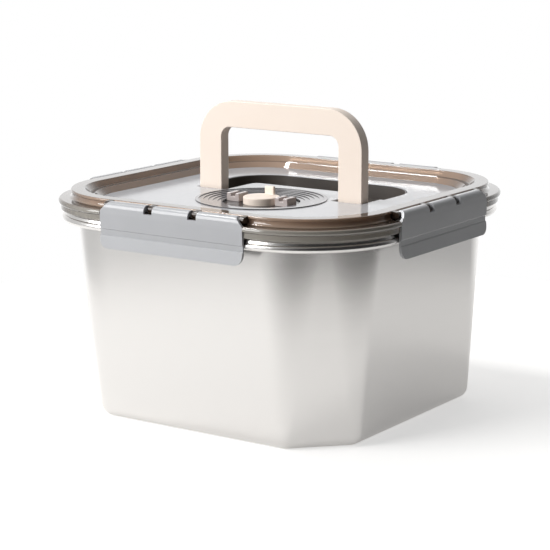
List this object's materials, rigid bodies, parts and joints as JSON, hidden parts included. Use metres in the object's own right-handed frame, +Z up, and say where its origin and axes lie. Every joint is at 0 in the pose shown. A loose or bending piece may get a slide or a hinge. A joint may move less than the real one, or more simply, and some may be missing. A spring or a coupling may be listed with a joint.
{
  "type": "kimchi container",
  "caption": "Square drafted steel food tub with a rolled rim, and a snap-latched lid with a fold-down carrying handle and an air valve in a round dish.",
  "frame": {"origin": "centre of the tub's base, on the surface it stands on", "axes": "+Z up, +X along the handle's bar, -Y the side that the valve dish is nearer to"},
  "size_m": [0.2546, 0.2546, 0.2035],
  "materials": {
    "steel": "fine brushed satin",
    "smoked_plastic": "clear smoked brown, glossy",
    "silicone": "soft matt",
    "deck_grey": "high gloss light grey",
    "tray_dark": "satin dark grey brown",
    "cream": "smooth satin cream",
    "latch_grey": "smooth satin mid grey",
    "dish_grey": "gloss grey",
    "cradle_grey": "satin dark grey",
    "pin_steel": "polished"
  },
  "bodies": {
    "tub": {"tub": "steel"},
    "lid": {"lid_frame": "smoked_plastic", "lid_gasket": "silicone", "deck_panel": "deck_grey", "handle_tray": "tray_dark", "tray_screws": "pin_steel", "handle_pin_left": "pin_steel", "handle_pin_right": "pin_steel", "valve_dish": "dish_grey", "valve_cradle": "cradle_grey", "latch_pin_front": "pin_steel", "latch_pin_right": "pin_steel", "latch_pin_back": "pin_steel", "latch_pin_left": "pin_steel"},
    "handle": {"handle": "cream"},
    "valve": {"valve_cap": "cream", "valve_stem": "cream", "valve_seal": "silicone", "valve_retainer": "pin_steel"},
    "latch_front": {"latch_front": "latch_grey"},
    "latch_right": {"latch_right": "latch_grey"},
    "latch_back": {"latch_back": "latch_grey"},
    "latch_left": {"latch_left": "latch_grey"}
  },
  "joints": [
    {"name": "lid_lift", "type": "slide", "parent": "tub", "child": "lid", "axis": [0, 0, 1], "range_m": [0, 0.15]},
    {"name": "handle_fold", "type": "hinge", "parent": "lid", "child": "handle", "pos_m": [0, 0, 0.1376], "axis": [-1, 0, 0], "range_deg": [0, 90]},
    {"name": "valve_lift", "type": "slide", "parent": "lid", "child": "valve", "axis": [0, 0, 1], "range_m": [0, 0.003]},
    {"name": "latch_front_hinge", "type": "hinge", "parent": "lid", "child": "latch_front", "pos_m": [0, -0.12139, 0.1476], "axis": [-1, 0, 0], "range_deg": [0, 105]},
    {"name": "latch_right_hinge", "type": "hinge", "parent": "lid", "child": "latch_right", "pos_m": [0.12139, 0, 0.1476], "axis": [0, -1, 0], "range_deg": [0, 105]},
    {"name": "latch_back_hinge", "type": "hinge", "parent": "lid", "child": "latch_back", "pos_m": [0, 0.12139, 0.1476], "axis": [1, 0, 0], "range_deg": [0, 105]},
    {"name": "latch_left_hinge", "type": "hinge", "parent": "lid", "child": "latch_left", "pos_m": [-0.12139, 0, 0.1476], "axis": [0, 1, 0], "range_deg": [0, 105]}
  ]
}
